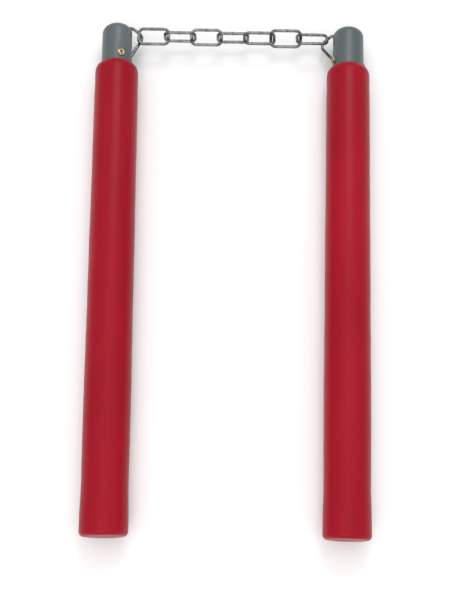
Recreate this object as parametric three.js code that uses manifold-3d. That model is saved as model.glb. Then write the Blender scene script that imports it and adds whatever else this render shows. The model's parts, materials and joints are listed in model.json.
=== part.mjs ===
// Focus training sticks: two foam-covered plastic sticks joined at their heads by a steel link chain.
// Millimetres, +Z up. The pair lies flat, with the heads towards +Y and the chain along +X.
// The origin is under the middle of the whole object, on the surface that it lies on.

import * as THREE from 'three';
import { mergeVertices } from 'three/addons/utils/BufferGeometryUtils.js';
import Module from 'manifold-3d';

const wasm = await Module();
wasm.setup();

const deg = THREE.MathUtils.degToRad;

// ---- Driving dimensions --------------------------------------------------

const clearance = 0.3; // left between pieces that touch

// Core tube: a plastic pipe whose head end is formed into a dome
const tubeOuterRadius = 10;
const tubeWall = 2;
const tubeSides = 32;
const domeHeight = 6.5; // from the end of the straight pipe to the apex
const pinToApex = 25;
const pinToFoam = 5.2; // bare pipe left below the pin
const slotWidth = 8;
const slotBelowPin = 3.2; // how far the slot's round end reaches past the pin
const slotStart = 2; // the slot leaves the very apex whole

// Foam cover
const foamOuterRadius = 14;
const foamLength = 298; // sleeve and end plug together
const foamSides = 24; // flats round the foam; the stick rests on one of them
const foamEndThickness = 6; // foam that closes the butt end
const foamSpigot = 4; // how far the end plug reaches up inside the sleeve
const rimChamfer = 2.2; // eased edge at both ends of the foam

// Tube plug in the butt end
const plugDepth = 12;
const plugFlange = 2;
const plugBore = 8;
const plugEase = 1; // chamfer at the end that is pressed in
const plugSides = 24;

// Cross pin, a hollow-ended rivet on washers
const pinRadius = 1.5;
const pinHeadRadius = 1.95;
const pinHeadThickness = 0.6;
const pinHollowRadius = 1;
const pinHollowDepth = 2;
const washerRadius = 2.4;
const washerThickness = 0.6;
const rivetEase = 0.2; // eased edges of the pin's heads and of the washers
const rivetSides = 20;

// Chain
const wireDiameter = 2;
const linkLength = 21.65;
const linkWidth = 13;
const linkBend = 3.4; // corner radius of a link, on the wire's centre line
const endLinkLength = 3 * tubeOuterRadius; // the links on the pins reach well out of the heads
const endLinkWidth = 14;
const endLinkBend = 4;
const weldBead = 0.12; // how far the butt weld stands proud of the wire
const weldLength = 1.6;
const wireSides = 8;
const linkSteps = 40; // along one link's wire

// How the pair lies: turns in degrees
const splay = 1.27; // each stick, its butt end turned in towards the other
const leftHeadRoll = 8; // the slots face the chain and this much below level
const rightHeadRoll = 20;
const leftPinTurn = 78; // from the slot round to the pin
const rightPinTurn = -40; // this head's pin was drilled nearer to its slot, and lies almost level
const linkRolls = [2, 93, 0, 92, -20, 54, -28]; // of the free links, from the left

// How each end link hangs on its pin: its lean out of the slot and its roll, in degrees, the
// slack behind the pin, and how far it is pulled over towards the chain
const leftHang = { lean: 28.5, roll: 14.8, slack: 0.05, slide: 0.05 };
const rightHang = { lean: 36.7, roll: 3.6, slack: 0.59, slide: -0.43 };

// Where the chain crosses each end link: back from its end wire, in from its outer side and past
// its plane, in widths of one wire and its clearance
const leftHook = [1.351, 1.329, -1.072];
const rightHook = [1.013, 2.544, -1.749];

// ---- Values worked out from them ------------------------------------------

const tubeInnerRadius = tubeOuterRadius - tubeWall;
const straightToPin = pinToApex - domeHeight;
const foamTop = -pinToFoam;
const foamBottom = foamTop - foamLength;
const sleeveBottom = foamBottom + foamEndThickness;
const flangeBottom = sleeveBottom + foamSpigot;
const tubeBottom = flangeBottom + plugFlange + clearance;
const foamTurn = Math.PI / foamSides; // brings a flat of the foam straight down
const axisHeight = foamOuterRadius * Math.cos(foamTurn);
const washerSeat = tubeOuterRadius + clearance;
const washerTop = washerSeat + washerThickness;
const pinHeadSeat = washerTop + clearance / 2;
const wireRadius = wireDiameter / 2;
const hookGap = wireDiameter + clearance;
const pinHook = pinRadius + clearance + wireRadius; // from the pin's axis to the wire behind it

// ---- Solids ----------------------------------------------------------------

function solidOf(geometry) {
  const bare = geometry.clone();
  bare.deleteAttribute('normal');
  bare.deleteAttribute('uv');
  const merged = mergeVertices(bare, 1e-5);
  const vertProperties = new Float32Array(merged.attributes.position.array);
  const triVerts = new Uint32Array(merged.index.array);
  return new wasm.Manifold(new wasm.Mesh({ numProp: 3, vertProperties, triVerts }));
}

function geometryOf(solid) {
  const mesh = solid.getMesh();
  const geometry = new THREE.BufferGeometry();
  geometry.setAttribute('position', new THREE.BufferAttribute(mesh.vertProperties, 3));
  geometry.setIndex(new THREE.BufferAttribute(mesh.triVerts, 1));
  return geometry;
}

// A turned solid on the Y axis: points are [radius, y], given from one end round to the other
function turned(points, sides, turn = 0) {
  const profile = points.map(([radius, y]) => new THREE.Vector2(radius, y));
  return new THREE.LatheGeometry(profile, sides, turn);
}

// Points of a quarter ellipse from the wall (radius, y) up to the axis
function quarterDome(radius, y, height, steps) {
  const points = [];
  for (let i = 0; i <= steps; i += 1) {
    const angle = (Math.PI / 2) * (i / steps);
    const r = i === steps ? 0 : radius * Math.cos(angle);
    points.push([r, y + height * Math.sin(angle)]);
  }
  return points;
}

function coreTube(pinTurn) {
  const outside = quarterDome(tubeOuterRadius, straightToPin, domeHeight, 6);
  const inside = quarterDome(tubeInnerRadius, straightToPin, domeHeight - tubeWall, 5).reverse();
  const profile = [...inside, [tubeInnerRadius, tubeBottom], [tubeOuterRadius, tubeBottom], ...outside];
  const pipe = solidOf(turned(profile, tubeSides));

  const slot = new THREE.Shape();
  const half = slotWidth / 2;
  slot.moveTo(half, half - slotBelowPin);
  slot.lineTo(half, pinToApex + half);
  slot.lineTo(-half, pinToApex + half);
  slot.lineTo(-half, half - slotBelowPin);
  slot.absarc(0, half - slotBelowPin, half, Math.PI, 2 * Math.PI, false);
  const slotCutter = new THREE.ExtrudeGeometry(slot, {
    depth: tubeOuterRadius + half - slotStart, bevelEnabled: false, curveSegments: 8,
  });
  slotCutter.rotateY(Math.PI / 2).translate(slotStart, 0, 0);

  const holeRadius = pinRadius + clearance;
  const pinHole = new THREE.CylinderGeometry(holeRadius, holeRadius, 4 * tubeOuterRadius, rivetSides);
  pinHole.rotateZ(Math.PI / 2).rotateY(-deg(pinTurn));
  return geometryOf(pipe.subtract(solidOf(slotCutter)).subtract(solidOf(pinHole)));
}

function foamSleeve() {
  const bore = tubeOuterRadius + clearance;
  const rim = foamOuterRadius - rimChamfer;
  return turned([
    [bore, sleeveBottom],
    [foamOuterRadius, sleeveBottom],
    [foamOuterRadius, foamTop - rimChamfer],
    [rim, foamTop],
    [bore, foamTop],
    [bore, sleeveBottom],
  ], foamSides, foamTurn);
}

function foamEndPlug() {
  const seam = sleeveBottom - clearance;
  const rim = foamOuterRadius - rimChamfer;
  const spigotTop = flangeBottom - clearance;
  return turned([
    [0, foamBottom],
    [rim, foamBottom],
    [foamOuterRadius, foamBottom + rimChamfer],
    [foamOuterRadius, seam],
    [tubeOuterRadius, seam],
    [tubeOuterRadius, spigotTop],
    [0, spigotTop],
  ], foamSides, foamTurn);
}

function tubePlug() {
  const body = tubeInnerRadius - clearance;
  const top = tubeBottom + plugDepth;
  const shoulder = flangeBottom + plugFlange;
  return turned([
    [0, flangeBottom],
    [tubeOuterRadius, flangeBottom],
    [tubeOuterRadius, shoulder],
    [body, shoulder],
    [body, top - plugEase],
    [body - plugEase, top],
    [plugBore / 2, top],
    [plugBore / 2, shoulder],
    [0, shoulder],
  ], plugSides);
}

// The pin and its washers are turned on Y here and swung to their place on the stick
function crossPin() {
  const end = pinHeadSeat + pinHeadThickness;
  const half = [
    [0, end - pinHollowDepth],
    [pinHollowRadius, end - pinHollowDepth],
    [pinHollowRadius, end - rivetEase],
    [pinHollowRadius + rivetEase, end],
    [pinHeadRadius - rivetEase, end],
    [pinHeadRadius, end - rivetEase],
    [pinHeadRadius, pinHeadSeat],
    [pinRadius, pinHeadSeat],
  ];
  const otherHalf = half.map(([radius, y]) => [radius, -y]);
  return turned([...otherHalf, ...half.reverse()], rivetSides);
}

function pinWasher() {
  const bore = pinRadius + clearance / 2;
  return turned([
    [bore, washerSeat],
    [washerRadius, washerSeat],
    [washerRadius, washerTop - rivetEase],
    [washerRadius - rivetEase, washerTop],
    [bore, washerTop],
    [bore, washerSeat],
  ], rivetSides);
}

// A link's centre line: a rounded rectangle from its weld, in the middle of one side, back to it
class LinkPath extends THREE.CurvePath {
  constructor(length, width, bend, weldGap) {
    super();
    const x = (length - wireDiameter) / 2;
    const y = (width - wireDiameter) / 2;
    const corners = [[x, -y], [x, y], [-x, y], [-x, -y]];
    let at = new THREE.Vector3(weldGap / 2, -y, 0);
    corners.forEach(([cx, cy], i) => {
      const corner = new THREE.Vector3(cx, cy, 0);
      const [nx, ny] = corners[(i + 1) % 4];
      const into = corner.clone().addScaledVector(
        new THREE.Vector3(at.x - cx, at.y - cy, 0).normalize(), bend,
      );
      const outOf = corner.clone().addScaledVector(
        new THREE.Vector3(nx - cx, ny - cy, 0).normalize(), bend,
      );
      this.add(new THREE.LineCurve3(at, into));
      this.add(new Bend(into, corner, outOf));
      at = outOf;
    });
    this.add(new THREE.LineCurve3(at, new THREE.Vector3(-weldGap / 2, -y, 0)));
  }
}

// A quarter circle from one side of a square corner to the other
class Bend extends THREE.Curve {
  constructor(from, corner, to) {
    super();
    this.from = from;
    this.to = to;
    this.centre = from.clone().add(to).sub(corner);
  }

  getPoint(t, target = new THREE.Vector3()) {
    const angle = (Math.PI / 2) * t;
    return target.copy(this.centre)
      .addScaledVector(this.from.clone().sub(this.centre), Math.cos(angle))
      .addScaledVector(this.to.clone().sub(this.centre), Math.sin(angle));
  }
}

function circle(radius, sides) {
  const shape = new THREE.Shape();
  for (let i = 0; i < sides; i += 1) {
    const angle = (2 * Math.PI * (i + 0.5)) / sides;
    const x = radius * Math.cos(angle);
    const y = radius * Math.sin(angle);
    if (i === 0) shape.moveTo(x, y);
    else shape.lineTo(x, y);
  }
  shape.closePath();
  return shape;
}

function linkGeometry(length, width, bend) {
  const weldGap = weldLength / 2;
  const wire = new THREE.ExtrudeGeometry(circle(wireRadius, wireSides), {
    steps: linkSteps, extrudePath: new LinkPath(length, width, bend, weldGap),
  });
  const beadRadius = wireRadius + weldBead;
  const bead = new THREE.CylinderGeometry(beadRadius, beadRadius, weldLength, wireSides * 2);
  bead.rotateZ(Math.PI / 2).translate(0, -(width - wireDiameter) / 2, 0);
  return geometryOf(solidOf(wire).add(solidOf(bead)));
}

// ---- Materials --------------------------------------------------------------

const finishes = {
  tube: { color: 0x5f6566, roughness: 0.42, metalness: 0 },
  foam: { color: 0xa31627, roughness: 0.68, metalness: 0 },
  plug: { color: 0x2c2e30, roughness: 0.6, metalness: 0 },
  steel: { color: 0xb9bcbd, roughness: 0.25, metalness: 1 },
  brass: { color: 0xc2ab7c, roughness: 0.35, metalness: 1 },
};

function piece(name, geometry, finish) {
  const mesh = new THREE.Mesh(geometry, new THREE.MeshStandardMaterial(finishes[finish]));
  mesh.name = name;
  return mesh;
}

// ---- Sticks -------------------------------------------------------------------

// A stick's own frame: its pin crosses its axis at the origin, and +Y runs to the apex.
// The head group inside it is rolled about Y, with its slot along the head's own +X.
function stick(side, roll, pinTurn) {
  const group = new THREE.Group();
  group.add(piece(`${side}_foam_sleeve`, foamSleeve(), 'foam'));
  group.add(piece(`${side}_foam_end_plug`, foamEndPlug(), 'foam'));

  const head = new THREE.Group();
  head.rotation.y = deg(roll);
  head.add(piece(`${side}_core_tube`, coreTube(pinTurn), 'tube'));
  head.add(piece(`${side}_tube_plug`, tubePlug(), 'plug'));

  const pin = new THREE.Group();
  pin.rotation.order = 'YXZ';
  pin.rotation.y = -deg(pinTurn);
  pin.rotation.z = -Math.PI / 2;
  pin.add(piece(`${side}_cross_pin`, crossPin(), 'brass'));
  pin.add(piece(`${side}_pin_washer_near`, pinWasher(), 'brass'));
  const farWasher = piece(`${side}_pin_washer_far`, pinWasher(), 'brass');
  farWasher.rotation.z = Math.PI;
  pin.add(farWasher);
  head.add(pin);
  group.add(head);
  return group;
}

// ---- Chain --------------------------------------------------------------------

// From a link's middle to the centre line of its wire: lengthways, then sideways
const linkReach = (linkLength - wireDiameter) / 2;
const linkHalf = (linkWidth - wireDiameter) / 2;
const endReach = (endLinkLength - wireDiameter) / 2;
const endHalf = (endLinkWidth - wireDiameter) / 2;

// A link's frame: +X along it, +Y across it along its end wires, +Z square to it.
// A level link with roll 0 lies flat; a positive roll lifts its +Y side.
function linkFrame(direction, roll) {
  const x = direction.clone().normalize();
  const flat = new THREE.Vector3(0, -Math.sin(deg(roll)), Math.cos(deg(roll)));
  const z = flat.addScaledVector(x, -flat.dot(x)).normalize();
  return new THREE.Matrix4().makeBasis(x, z.clone().cross(x), z);
}

// The end link in its head's frame, where up is the sense of the head's +Z in the world
function endLinkMatrix(up, hang) {
  const lean = deg(hang.lean);
  const direction = new THREE.Vector3(Math.sin(lean), Math.cos(lean), 0);
  const inSlot = new THREE.Vector3(-Math.cos(lean), Math.sin(lean), 0);
  const middle = direction.clone().multiplyScalar(endReach - pinHook - hang.slack)
    .addScaledVector(inSlot, -hang.slide);
  const across = inSlot.multiplyScalar(Math.cos(deg(hang.roll)))
    .addScaledVector(new THREE.Vector3(0, 0, up), Math.sin(deg(hang.roll)));
  const square = direction.clone().cross(across);
  return new THREE.Matrix4().makeBasis(direction, across, square).setPosition(middle);
}

// Where the next link's end wire crosses the end link, in the end link's frame
function crossing(up, hooks) {
  const [back, inward, past] = hooks.map((share) => share * hookGap);
  return new THREE.Vector3(endReach - back, inward - endHalf, -past * up);
}

// A link from its first end wire's middle towards +X, its other end wire's at a given height
function laidLink(start, endHeight, roll) {
  const rise = endHeight - start.z;
  const run = Math.sqrt(4 * linkReach * linkReach - rise * rise);
  const matrix = linkFrame(new THREE.Vector3(run, 0, rise), roll);
  const end = start.clone().add(new THREE.Vector3(run, 0, rise));
  matrix.setPosition(start.clone().add(end).multiplyScalar(0.5));
  return { matrix, end };
}

// ---- The pair -------------------------------------------------------------------

const pair = new THREE.Group();

const leftStick = stick('left', leftHeadRoll, leftPinTurn);
leftStick.position.set(0, 0, axisHeight);
leftStick.rotation.z = deg(splay);

const rightStick = stick('right', 180 - rightHeadRoll, rightPinTurn);
rightStick.rotation.z = -deg(splay);

const headOf = (group) => group.children.find((child) => child.isGroup);
const link = (name, end) => piece(name, end
  ? linkGeometry(endLinkLength, endLinkWidth, endLinkBend)
  : linkGeometry(linkLength, linkWidth, linkBend), 'steel');

function hangEndLink(group, name, up, hang) {
  const mesh = link(name, true);
  mesh.applyMatrix4(endLinkMatrix(up, hang));
  headOf(group).add(mesh);
  group.updateMatrixWorld(true);
  return mesh;
}

const lastName = `chain_link_${linkRolls.length + 2}`;
const firstLink = hangEndLink(leftStick, 'chain_link_1', 1, leftHang);
const lastLink = hangEndLink(rightStick, lastName, -1, rightHang);

const chainStart = crossing(1, leftHook).applyMatrix4(firstLink.matrixWorld);
const chainEnd = crossing(-1, rightHook).applyMatrix4(lastLink.matrixWorld);
chainEnd.z += axisHeight;

// The chain is pulled straight: each free link starts inside the end of the one before it
const fall = (chainEnd.z - chainStart.z) / linkRolls.length;
const chainTip = chainStart.clone();
linkRolls.forEach((roll, i) => {
  if (i > 0) chainTip.x -= hookGap;
  const { matrix, end } = laidLink(chainTip, chainTip.z + fall, roll);
  const mesh = link(`chain_link_${i + 2}`, false);
  mesh.applyMatrix4(matrix);
  pair.add(mesh);
  chainTip.copy(end);
});

// The right stick lies where the chain's far end reaches it
rightStick.position.set(chainTip.x - chainEnd.x, chainTip.y - chainEnd.y, axisHeight);
pair.add(leftStick, rightStick);

const box = new THREE.Box3().setFromObject(pair, true);
const middle = box.getCenter(new THREE.Vector3());
pair.position.set(-middle.x, -middle.y, -box.min.z);

export default pair;
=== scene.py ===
"""Focus training sticks: two foam-covered sticks with grey plastic heads, joined by a steel chain.

Metres, +Z up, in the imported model's frame: the pair lies flat, heads towards +Y, chain along +X.
"""

import json
import math

import bmesh
import bpy
import numpy as np
from mathutils import Euler, Matrix, Vector


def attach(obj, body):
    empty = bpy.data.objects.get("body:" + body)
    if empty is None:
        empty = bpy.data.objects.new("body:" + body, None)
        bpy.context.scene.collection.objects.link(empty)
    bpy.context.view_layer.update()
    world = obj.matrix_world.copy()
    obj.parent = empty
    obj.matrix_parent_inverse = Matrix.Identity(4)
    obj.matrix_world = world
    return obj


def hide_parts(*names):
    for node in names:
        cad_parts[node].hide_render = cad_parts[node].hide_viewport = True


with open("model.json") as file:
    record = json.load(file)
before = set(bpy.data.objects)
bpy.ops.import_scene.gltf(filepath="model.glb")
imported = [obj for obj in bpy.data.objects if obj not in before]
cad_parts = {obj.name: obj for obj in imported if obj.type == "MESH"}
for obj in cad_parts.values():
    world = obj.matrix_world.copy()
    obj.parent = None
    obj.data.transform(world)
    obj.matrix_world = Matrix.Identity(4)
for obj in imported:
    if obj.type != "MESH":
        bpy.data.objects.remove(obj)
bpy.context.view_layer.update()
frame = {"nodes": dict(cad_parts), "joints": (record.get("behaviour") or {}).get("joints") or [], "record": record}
scene = bpy.context.scene
MM = 0.001

# ---- Camera --------------------------------------------------------------------

LONG_SIDE = 600.0  # of the picture
FOCAL_LENGTH = 1013.7  # in the same units
camera_data = bpy.data.cameras.new("camera")
camera = bpy.data.objects.new("camera", camera_data)
scene.collection.objects.link(camera)
scene.camera = camera
camera.location = Vector((2.4, -205.0, 598.4)) * MM
camera.rotation_euler = Euler((0.3052, -0.0066, 0.013))
camera_data.sensor_width = 36.0
camera_data.lens = camera_data.sensor_width * FOCAL_LENGTH / LONG_SIDE
camera_data.shift_x = -10.4 / LONG_SIDE
camera_data.shift_y = -4.2 / LONG_SIDE
camera_data.clip_start = 0.01


# ---- Materials -----------------------------------------------------------------

def hex_colour(code):
    """An sRGB hex colour as linear RGBA."""
    parts = [int(code[i:i + 2], 16) / 255 for i in (1, 3, 5)]
    return [c / 12.92 if c <= 0.04045 else ((c + 0.055) / 1.055) ** 2.4 for c in parts] + [1.0]


def per_mm(size):
    """The pattern scale, on Object coordinates in metres, whose features are this many mm across."""
    return 1.0 / (size * MM)


def node(tree, kind, settings=None, links=None):
    """Adds a node: settings fill its properties or sockets, and links join its sockets."""
    made = tree.nodes.new(kind)
    for key, value in (settings or {}).items():
        if isinstance(key, int) or key in made.inputs:
            made.inputs[key].default_value = value
        else:
            setattr(made, key, value)
    for key, source in (links or {}).items():
        tree.links.new(source, made.inputs[key])
    return made


def new_material(name, **values):
    """A material with its Principled shader's own sockets filled, and its Object coordinates."""
    material = bpy.data.materials.new(name)
    material.use_nodes = True
    tree = material.node_tree
    shader = tree.nodes["Principled BSDF"]
    for socket, value in values.items():
        shader.inputs[socket.replace("_", " ")].default_value = value
    place = node(tree, "ShaderNodeTexCoord").outputs["Object"]
    return material, tree, shader, place


def blended(tree, factor, low, high, first, second):
    """Colour between two hex colours as factor goes from low to high."""
    ramp = node(tree, "ShaderNodeValToRGB", links={"Fac": factor})
    ramp.color_ramp.elements[0].position = low
    ramp.color_ramp.elements[0].color = hex_colour(first)
    ramp.color_ramp.elements[1].position = high
    ramp.color_ramp.elements[1].color = hex_colour(second)
    return ramp.outputs["Color"]


def ranged(tree, factor, low, high):
    """Factor 0 to 1 stretched to low to high."""
    settings = {"To Min": low, "To Max": high}
    return node(tree, "ShaderNodeMapRange", settings, {"Value": factor}).outputs["Result"]


def noise(tree, place, size, detail=3.0, roughness=0.5, stretch=(1.0, 1.0, 1.0)):
    """Noise whose features are size mm across, stretched along the axes."""
    mapped = node(tree, "ShaderNodeMapping", {"Scale": stretch}, {"Vector": place}).outputs["Vector"]
    settings = {"Scale": per_mm(size), "Detail": detail, "Roughness": roughness}
    return node(tree, "ShaderNodeTexNoise", settings, {"Vector": mapped}).outputs["Fac"]


def bumped(tree, shader, height, strength, depth, below=None):
    """Adds a bump of depth mm to the shader's normal, on top of another bump if there is one."""
    settings = {"Strength": strength, "Distance": depth * MM}
    links = {"Height": height}
    if below is not None:
        links["Normal"] = below
    normal = node(tree, "ShaderNodeBump", settings, links).outputs["Normal"]
    tree.links.new(normal, shader.inputs["Normal"])
    return normal


def closed_cell_foam():
    """NBR closed-cell foam, extruded and skinned: a soft satin skin, finely pocked with cells.

    The cells are about 0.3 mm across, and are drawn at 0.7 mm so that they show.
    """
    material, tree, shader, place = new_material(
        "closed_cell_nbr_foam", Roughness=0.4, IOR=1.47, Specular_IOR_Level=0.15)
    patches = noise(tree, place, 38.0, 4.0, 0.55, (1.0, 0.35, 1.0))
    tree.links.new(blended(tree, patches, 0.35, 0.7, "#900A1E", "#A00E23"), shader.inputs["Base Color"])
    tree.links.new(ranged(tree, noise(tree, place, 9.0, 4.0), 0.28, 0.4), shader.inputs["Roughness"])
    pores = node(tree, "ShaderNodeTexVoronoi", {"Scale": per_mm(0.7)}, {"Vector": place})
    pocked = bumped(tree, shader, pores.outputs["Distance"], 0.16, 0.12)
    bumped(tree, shader, noise(tree, place, 6.0, 3.0), 0.2, 0.25, pocked)
    return material


def satin_pipe():
    """Grey PVC-U pipe, extruded: a satin skin with faint die lines along it and fine scuffs."""
    material, tree, shader, place = new_material("satin_pvc_pipe", Roughness=0.4, IOR=1.53)
    tint = noise(tree, place, 14.0, 3.0, 0.5, (1.0, 0.3, 1.0))
    tree.links.new(blended(tree, tint, 0.3, 0.75, "#4C5456", "#586061"), shader.inputs["Base Color"])
    lines = noise(tree, place, 0.9, 2.0, 0.5, (1.0, 0.03, 1.0))
    tree.links.new(ranged(tree, noise(tree, place, 3.0, 5.0, 0.65), 0.32, 0.5), shader.inputs["Roughness"])
    drawn = bumped(tree, shader, lines, 0.25, 0.05)
    bumped(tree, shader, noise(tree, place, 1.6, 5.0, 0.7), 0.12, 0.08, drawn)
    return material


def plated_wire():
    """Nickel-plated steel wire, drawn, bent and butt-welded: bright, with dull hollows and worn spots."""
    material, tree, shader, place = new_material("nickel_plated_steel_wire", Metallic=1.0)
    dull = noise(tree, place, 2.2, 5.0, 0.6)
    tree.links.new(blended(tree, dull, 0.38, 0.66, "#595B5D", "#828486"), shader.inputs["Base Color"])
    tree.links.new(ranged(tree, noise(tree, place, 1.3, 4.0, 0.6), 0.12, 0.3), shader.inputs["Roughness"])
    bumped(tree, shader, noise(tree, place, 0.8, 4.0, 0.6), 0.15, 0.06)
    return material


def plated_brass():
    """Brass eyelet rivet, pressed and thinly nickel-plated, rubbed back to yellow on its high spots."""
    material, tree, shader, place = new_material("plated_brass_rivet", Metallic=1.0)
    worn = noise(tree, place, 1.2, 4.0, 0.6)
    tree.links.new(blended(tree, worn, 0.4, 0.62, "#A8915C", "#C9C2B2"), shader.inputs["Base Color"])
    tree.links.new(ranged(tree, worn, 0.22, 0.42), shader.inputs["Roughness"])
    bumped(tree, shader, noise(tree, place, 0.5, 3.0), 0.1, 0.04)
    return material


def moulded_plug():
    """Black LDPE, injection moulded: a dull waxy skin with a fine moulded grain."""
    material, tree, shader, place = new_material("moulded_ldpe_plug", Roughness=0.55, IOR=1.51)
    tone = noise(tree, place, 5.0)
    tree.links.new(blended(tree, tone, 0.3, 0.7, "#26282A", "#323537"), shader.inputs["Base Color"])
    bumped(tree, shader, noise(tree, place, 0.6, 4.0, 0.6), 0.2, 0.06)
    return material


foam_finish = closed_cell_foam()
pipe_finish = satin_pipe()
wire_finish = plated_wire()
rivet_finish = plated_brass()
plug_finish = moulded_plug()


# ---- Making pieces ---------------------------------------------------------------

def editing(piece):
    """Selects one piece alone and opens it in edit mode with nothing in it selected."""
    if bpy.context.object is not None and bpy.context.object.mode != "OBJECT":
        bpy.ops.object.mode_set(mode="OBJECT")
    bpy.ops.object.select_all(action="DESELECT")
    piece.select_set(True)
    bpy.context.view_layer.objects.active = piece
    bpy.ops.object.mode_set(mode="EDIT")
    bpy.ops.mesh.select_all(action="DESELECT")


def pick(piece, wanted, kind="verts"):
    """In edit mode, selects the elements that pass a test of their place."""
    bpy.ops.mesh.select_all(action="DESELECT")
    modes = {"verts": "VERT", "edges": "EDGE", "faces": "FACE"}
    bpy.ops.mesh.select_mode(type=modes[kind])
    mesh = bmesh.from_edit_mesh(piece.data)
    for element in getattr(mesh, kind):
        if wanted(element):
            element.select_set(True)
    mesh.select_flush_mode()
    bmesh.update_edit_mesh(piece.data)


def settle(piece, matrix=Matrix.Identity(4)):
    """Puts a piece's place into its mesh, then moves the mesh by the matrix."""
    if piece.mode != "OBJECT":
        bpy.ops.object.mode_set(mode="OBJECT")
    bpy.context.view_layer.update()
    piece.data.transform(matrix @ piece.matrix_world)
    piece.matrix_world = Matrix.Identity(4)
    piece.data.update()
    return piece


def apply_modifier(piece, kind, **settings):
    modifier = piece.modifiers.new(kind.title(), kind)
    for key, value in settings.items():
        setattr(modifier, key, value)
    bpy.ops.object.select_all(action="DESELECT")
    piece.select_set(True)
    bpy.context.view_layer.objects.active = piece
    bpy.ops.object.modifier_apply(modifier=modifier.name)


def smooth(piece, angle=40.0):
    bpy.ops.object.select_all(action="DESELECT")
    piece.select_set(True)
    bpy.context.view_layer.objects.active = piece
    bpy.ops.object.shade_smooth_by_angle(angle=math.radians(angle))


def turned(name, profile, sides, solid=True):
    """A round piece on the Z axis, raised ring by ring from a circle: profile is [radius, height] in mm.

    A solid piece has a disc at each end. Otherwise it is a shell, or a ring if it comes back to its start.
    """
    start_radius, start_height = profile[0]
    bpy.ops.object.select_all(action="DESELECT")
    bpy.ops.mesh.primitive_circle_add(
        vertices=sides, radius=start_radius * MM, fill_type="NGON" if solid else "NOTHING",
        location=(0, 0, start_height * MM))
    piece = settle(bpy.context.object)
    piece.name = name
    editing(piece)
    bpy.ops.mesh.select_all(action="SELECT")
    for (radius, height), (next_radius, next_height) in zip(profile, profile[1:]):
        rise = (next_height - height) * MM
        bpy.ops.mesh.extrude_region_move(TRANSFORM_OT_translate={"value": (0, 0, rise)})
        if next_radius == 0:
            bpy.ops.mesh.merge(type="CENTER")
            break
        if next_radius != radius:
            grow = next_radius / radius
            bpy.ops.transform.resize(value=(grow, grow, 1), center_override=(0, 0, next_height * MM))
    bpy.ops.mesh.select_all(action="SELECT")
    bpy.ops.mesh.remove_doubles(threshold=0.002 * MM)
    bpy.ops.mesh.normals_make_consistent(inside=False)
    return settle(piece)


def arc(centre_radius, centre_height, across, along, start, end, steps):
    """Points of part of an ellipse in a profile, by angle in degrees from straight outwards."""
    points = []
    for i in range(steps + 1):
        angle = math.radians(start + (end - start) * i / steps)
        points.append([centre_radius + across * math.cos(angle), centre_height + along * math.sin(angle)])
    return points


def finish_piece(piece, body, slot, material, *nodes):
    """Gives a finished piece its material and body, and hides the CAD nodes that it stands for. The slot is not
    used.
    """
    piece.data.materials.clear()
    piece.data.materials.append(material)
    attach(piece, body)
    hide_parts(*nodes)
    return piece


# ---- Frames ----------------------------------------------------------------------

record = frame["record"]


def named(rows, name):
    return next(row for row in rows if row["name"] == name)


def head_frame(side):
    """The head's frame with its origin on the pin: X out of the slot, Z along the stick to its apex."""
    joint = named(frame["joints"], side + "_pin_hinge")
    along = -Vector(named(record["mounts"], side + "_butt")["axis"]).normalized()
    square = Vector(joint["axis"]).normalized()
    out = along.cross(square)
    rows = Matrix((out, -square, along)).transposed().to_4x4()
    return Matrix.Translation(joint["pos_m"]) @ rows


def main_axes(node_name):
    """A CAD node's middle and its three main directions, longest first."""
    points = np.array([v.co for v in frame["nodes"][node_name].data.vertices])
    values, vectors = np.linalg.eigh(np.cov((points - points.mean(0)).T))
    axes = vectors[:, np.argsort(-values)]
    spans = (points - points.mean(0)) @ axes
    middle = points.mean(0) + axes @ ((spans.max(0) + spans.min(0)) / 2)
    return Vector(middle), [Vector(axes[:, i]) for i in range(3)], spans


def link_frame(node_name):
    """A chain link's frame: X along it, and Y across it, away from the welded side."""
    middle, (along, across, _), spans = main_axes(node_name)
    if spans[:, 1].max() > -spans[:, 1].min():
        across = -across
    rows = Matrix((along, across, along.cross(across))).transposed().to_4x4()
    return Matrix.Translation(middle) @ rows


# ---- Dimensions, mm --------------------------------------------------------------

TUBE_RADIUS = 10.0
TUBE_WALL = 2.0
PIN_TO_APEX = 25.0
DOME_HEIGHT = 6.5
FOAM_RADIUS = 13.95
FOAM_BORE = 10.12
FOAM_TOP = -5.2
FOAM_LENGTH = 298.0
CAVITY_BOTTOM = -293.5
TUBE_BOTTOM = -290.9
SLOT_WIDTH = 8.0
SLOT_BELOW_PIN = 3.2
SLOT_START = 2.0
PIN_RADIUS = 1.5
WIRE = 2.0
END_LINK = (30.0, 14.0, 4.0)  # length, width and corner radius
FREE_LINK = (21.65, 13.0, 3.4)


# ---- Foam ------------------------------------------------------------------------

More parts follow.
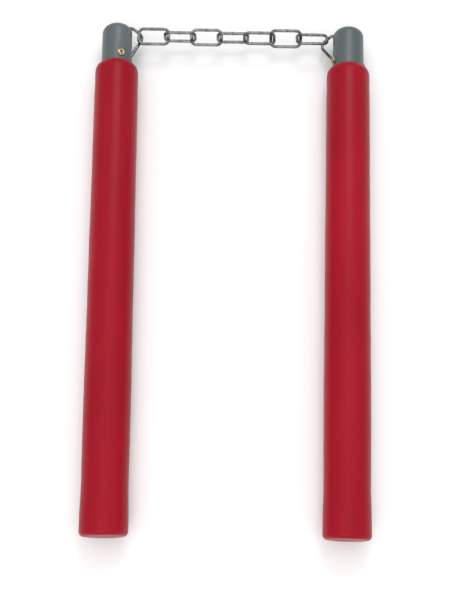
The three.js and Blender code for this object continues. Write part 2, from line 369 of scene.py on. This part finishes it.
def foam_profile():
    """From the middle of the butt end, up the outside, over the shoulder and down the bore."""
    butt = FOAM_TOP - FOAM_LENGTH
    profile = [[7.0, butt + 0.25]]
    profile += arc(FOAM_RADIUS - 2.6, butt + 2.8, 2.6, 2.8, -90, 0, 7)
    profile += [[FOAM_RADIUS, butt + 6], [FOAM_RADIUS, butt + 11]]
    profile += [[FOAM_RADIUS - waist, butt + height] for waist, height in
                ((0.12, 17), (0.32, 23), (0.42, 29), (0.36, 37), (0.22, 50), (0.1, 68))]
    count = 22
    low, high = butt + 80, FOAM_TOP - 14
    for i in range(count + 1):
        swell = 0.05 * math.sin(i * 1.9) + 0.04 * math.sin(i * 0.7 + 1)
        profile.append([FOAM_RADIUS - 0.1 + swell, low + (high - low) * i / count])
    profile += [[FOAM_RADIUS - 0.1, FOAM_TOP - 8]]
    profile += arc(FOAM_BORE + 0.35, FOAM_TOP - 5.2, FOAM_RADIUS - 0.1 - FOAM_BORE - 0.35, 5.2, 0, 90, 10)
    profile += [[FOAM_BORE, FOAM_TOP - 0.35], [FOAM_BORE, FOAM_TOP - 12], [FOAM_BORE, CAVITY_BOTTOM]]
    return profile


def make_foam(side):
    foam = turned(side + "_foam_cover", foam_profile(), 96)
    settle(foam, head_frame(side))
    # It is flat only where it rests on the floor
    for vertex in foam.data.vertices:
        vertex.co.z = max(vertex.co.z, 0.02 * MM)
    smooth(foam, 60)
    finish_piece(foam, side + "_stick", "foam", foam_finish, side + "_foam_sleeve", side + "_foam_end_plug")


# ---- Head and pipe ---------------------------------------------------------------

def pipe_profile():
    """From inside the dome down the bore, round the butt end and up the outside to the nubbed apex."""
    straight = PIN_TO_APEX - DOME_HEIGHT
    bore = TUBE_RADIUS - TUBE_WALL
    crown = DOME_HEIGHT - TUBE_WALL
    profile = [[bore * math.cos(math.radians(a)), straight + crown * math.sin(math.radians(a))]
               for a in (84, 72, 60, 48, 36, 24, 12, 0)]
    profile += [[bore, 0], [bore, -12], [bore, -60], [bore, TUBE_BOTTOM], [TUBE_RADIUS, TUBE_BOTTOM],
                [TUBE_RADIUS, -60], [TUBE_RADIUS, -12], [TUBE_RADIUS, 0], [TUBE_RADIUS, straight * 0.6]]
    for i in range(13):
        angle = math.radians(7 * i)
        profile.append([TUBE_RADIUS * math.cos(angle) ** 0.85, straight + DOME_HEIGHT * math.sin(angle)])
    nub = 1.7
    profile += [[nub + 0.5, PIN_TO_APEX - 0.05], [nub, PIN_TO_APEX + 0.15], [nub - 0.25, PIN_TO_APEX + 0.55],
                [nub - 0.7, PIN_TO_APEX + 0.75], [0, PIN_TO_APEX + 0.8]]
    return [p for p in profile if p[0] > 0.4 or p[0] == 0]


def cut(piece, cutter):
    apply_modifier(piece, "BOOLEAN", operation="DIFFERENCE", object=cutter, solver="EXACT")
    mesh = cutter.data
    bpy.data.objects.remove(cutter)
    bpy.data.meshes.remove(mesh)


def slot_cutter():
    """A bar out of the head's +X side, with a round lower end."""
    reach = TUBE_RADIUS + 6 - SLOT_START
    height = PIN_TO_APEX + 8 + SLOT_BELOW_PIN
    bpy.ops.object.select_all(action="DESELECT")
    bpy.ops.mesh.primitive_cube_add(size=1, location=(
        (SLOT_START + reach / 2) * MM, 0, (height / 2 - SLOT_BELOW_PIN) * MM))
    cutter = bpy.context.object
    cutter.scale = (reach * MM, SLOT_WIDTH * MM, height * MM)
    settle(cutter)
    editing(cutter)
    low = -SLOT_BELOW_PIN * MM + 1e-6

    def lower_side_edge(edge):
        a, b = (v.co for v in edge.verts)
        return a.z < low and b.z < low and abs(a.y - b.y) < 1e-6

    pick(cutter, lower_side_edge, "edges")
    bpy.ops.mesh.bevel(offset=SLOT_WIDTH / 2 * MM * 0.99, segments=10, affect="EDGES")
    return settle(cutter)


def pin_axis(side):
    return main_axes(side + "_cross_pin")[1][0]


def pin_frame(side, flip=False):
    """The pin's frame: Z along it, and X along the stick."""
    head = head_frame(side)
    along = Vector((head[0][2], head[1][2], head[2][2]))
    axis = pin_axis(side) * (-1 if flip else 1)
    rows = Matrix((along, axis.cross(along), axis)).transposed().to_4x4()
    return Matrix.Translation(head.translation) @ rows


def make_pipe(side):
    pipe = turned(side + "_pipe", pipe_profile(), 96)
    cut(pipe, slot_cutter())
    head = head_frame(side)
    hole = turned("pin_hole", [[PIN_RADIUS + 0.3, -20], [PIN_RADIUS + 0.3, 20]], 32)
    settle(hole, head.inverted() @ pin_frame(side))
    cut(pipe, hole)
    apply_modifier(pipe, "BEVEL", width=0.3 * MM, segments=2, limit_method="ANGLE",
                   angle_limit=math.radians(38), use_clamp_overlap=True)
    settle(pipe, head)
    smooth(pipe, 35)
    finish_piece(pipe, side + "_stick", "tube", pipe_finish, side + "_core_tube")


# ---- Rivets ----------------------------------------------------------------------

SEAT = TUBE_RADIUS + 0.3
WASHER_TOP = SEAT + 0.6
RIVET_HEAD = WASHER_TOP + 0.15
RIVET_END = RIVET_HEAD + 0.6


def rivet_profile():
    """One end of the rivet, from the floor of its hollow out over the rolled lip to its shank."""
    lip = [[0.85, RIVET_END - 1.9], [0.95, RIVET_END - 1.5], [0.95, RIVET_END - 0.5]]
    lip += [[r, h] for r, h in arc(1.45, RIVET_END - 0.3, 0.5, 0.3, 180, 0, 8)]
    lip += [[1.95, RIVET_HEAD + 0.1], [1.88, RIVET_HEAD], [PIN_RADIUS, RIVET_HEAD]]
    return lip


def make_rivet(side):
    end = rivet_profile()
    profile = [[radius, -height] for radius, height in end] + end[::-1]
    rivet = settle(turned(side + "_rivet", profile, 40), pin_frame(side))
    smooth(rivet, 50)
    finish_piece(rivet, side + "_stick", "rivet", rivet_finish, side + "_cross_pin")
    bore = PIN_RADIUS + 0.12
    ring = [[bore, SEAT], [2.3, SEAT], [2.4, SEAT + 0.12], [2.38, WASHER_TOP - 0.2],
            [2.2, WASHER_TOP - 0.03], [1.9, WASHER_TOP], [bore, WASHER_TOP], [bore, SEAT]]
    for end_name in ("near", "far"):
        cad_name = f"{side}_pin_washer_{end_name}"
        away = (main_axes(cad_name)[0] - pin_frame(side).translation).dot(pin_axis(side))
        washer = turned(f"{side}_washer_{end_name}", ring, 40, solid=False)
        settle(washer, pin_frame(side, flip=away < 0))
        smooth(washer, 40)
        finish_piece(washer, side + "_stick", "rivet", rivet_finish, cad_name)


# ---- Chain -----------------------------------------------------------------------

def wire_link(name, length, width, bend):
    """A link of round wire: a torus drawn out into two sides and two ends, with its weld on the -Y side."""
    steps = 48
    bpy.ops.object.select_all(action="DESELECT")
    bpy.ops.mesh.primitive_torus_add(
        major_segments=steps, minor_segments=20, major_radius=bend * MM, minor_radius=WIRE / 2 * MM,
        rotation=(0, 0, math.pi / steps))
    link = settle(bpy.context.object)
    link.name = name
    editing(link)
    reach = ((length - WIRE) / 2 - bend) * MM
    half = ((width - WIRE) / 2 - bend) * MM
    for axis, amount in ((0, reach), (1, half)):
        for sign in (1, -1):
            pick(link, lambda v: v.co[axis] * sign > 0)
            shift = [0, 0, 0]
            shift[axis] = sign * amount
            bpy.ops.transform.translate(value=shift)

    def weld_side(edge):
        a, b = (v.co for v in edge.verts)
        return a.x * b.x < 0 and a.y < 0

    pick(link, weld_side, "edges")
    bpy.ops.mesh.subdivide(number_cuts=31)
    line = -(width - WIRE) / 2 * MM
    gaps = 2 * reach / 32
    for i in range(-2, 3):
        pick(link, lambda v: abs(v.co.x - i * gaps) < gaps * 0.3 and v.co.y < -half)
        grow = 1 + 0.15 * math.cos(i * math.pi / 6) ** 2
        bpy.ops.transform.resize(value=(1, grow, grow), center_override=(0, line, 0))
    bpy.ops.mesh.select_all(action="SELECT")
    bpy.ops.mesh.normals_make_consistent(inside=False)
    settle(link)
    smooth(link, 60)
    return link


def make_chain():
    """Two link sizes, each modelled once and copied to the frames of the CAD links."""
    ends = wire_link("end_link", *END_LINK)
    free = wire_link("free_link", *FREE_LINK)
    count = sum(name.startswith("chain_link_") for name in frame["nodes"])
    for i in range(1, count + 1):
        source = ends if i in (1, count) else free
        copy = source.copy()
        copy.data = source.data.copy()
        copy.name = f"wire_link_{i}"
        scene.collection.objects.link(copy)
        settle(copy, link_frame(f"chain_link_{i}"))
        finish_piece(copy, f"link_{i}", "steel", wire_finish, f"chain_link_{i}")
    for source in (ends, free):
        bpy.data.objects.remove(source)


# ---- The object ------------------------------------------------------------------

for side in ("left", "right"):
    make_foam(side)
    make_pipe(side)
    make_rivet(side)
    plug = frame["nodes"][side + "_tube_plug"]
    plug.data.materials.clear()
    plug.data.materials.append(plug_finish)
make_chain()

# ---- Floor and light ---------------------------------------------------------------

bpy.ops.object.select_all(action="DESELECT")
bpy.ops.mesh.primitive_plane_add(size=60.0, location=(0, 0, 0))
floor = bpy.context.object
floor.name = "floor"
paper, paper_tree, paper_shader, paper_place = new_material("white_paper", Roughness=0.9)
paper_shader.inputs["Base Color"].default_value = hex_colour("#F6F6F6")
floor.data.materials.append(paper)


def soft_light(name, place, aim, width, height, power):
    data = bpy.data.lights.new(name, "AREA")
    data.shape = "RECTANGLE"
    data.size = width
    data.size_y = height
    data.energy = power
    light = bpy.data.objects.new(name, data)
    scene.collection.objects.link(light)
    light.location = place
    light.rotation_euler = (Vector(aim) - Vector(place)).to_track_quat("-Z", "Y").to_euler()


soft_light("head_end_light", (0.1, 0.75, 1.0), (0, 0.1, 0), 0.5, 0.4, 3.0)
soft_light("butt_end_light", (-0.1, -0.85, 0.9), (0, -0.1, 0), 0.5, 0.4, 3.0)
soft_light("overhead_light", (0, 0, 1.6), (0, 0, 0), 1.2, 1.2, 2.0)

world = bpy.data.worlds.new("studio")
scene.world = world
world.use_nodes = True
sky = world.node_tree.nodes["Background"]
sky.inputs["Color"].default_value = (1, 1, 1, 1)
# The room is dimmer at the horizon than overhead
direction = node(world.node_tree, "ShaderNodeTexCoord").outputs["Generated"]
upward = node(world.node_tree, "ShaderNodeSeparateXYZ", links={"Vector": direction}).outputs["Z"]
brightness = node(world.node_tree, "ShaderNodeMapRange", {
    "From Min": 0.1, "From Max": 0.9, "To Min": 0.5, "To Max": 1.05}, {"Value": upward}).outputs["Result"]
world.node_tree.links.new(brightness, sky.inputs["Strength"])
scene.view_settings.view_transform = "Standard"
